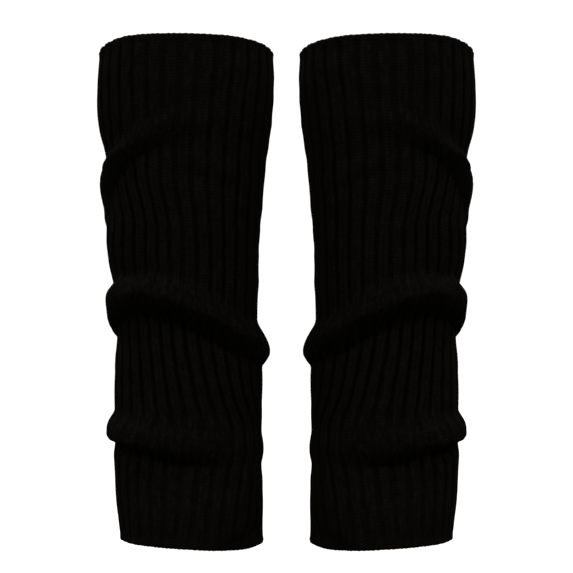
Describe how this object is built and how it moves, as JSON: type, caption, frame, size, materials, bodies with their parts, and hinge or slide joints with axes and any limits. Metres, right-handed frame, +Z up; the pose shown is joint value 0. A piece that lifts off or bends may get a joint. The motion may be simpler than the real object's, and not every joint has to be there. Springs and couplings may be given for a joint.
{
  "type": "pair of leg warmers",
  "caption": "Footless ribbed knit tubes for the lower legs, shown worn, hollow and open at both ends, with slack cloth slouched into soft rolled folds.",
  "frame": {"origin": "midway between the two legs, 20 mm below the top edges, at the height where each calf holds its tube", "axes": "+Z up along the legs, the front of the legs faces -Y, +X to the viewer's right, and X = 0 is the mirror plane of the pair"},
  "size_m": [0.2726, 0.1283, 0.3526],
  "materials": {
    "black_rib_knit": "matt two by two rib knit in a soft near-black yarn with a faint fuzz"
  },
  "bodies": {
    "root": {"leg_warmer_left": "black_rib_knit", "leg_warmer_right": "black_rib_knit"}
  },
  "joints": []
}
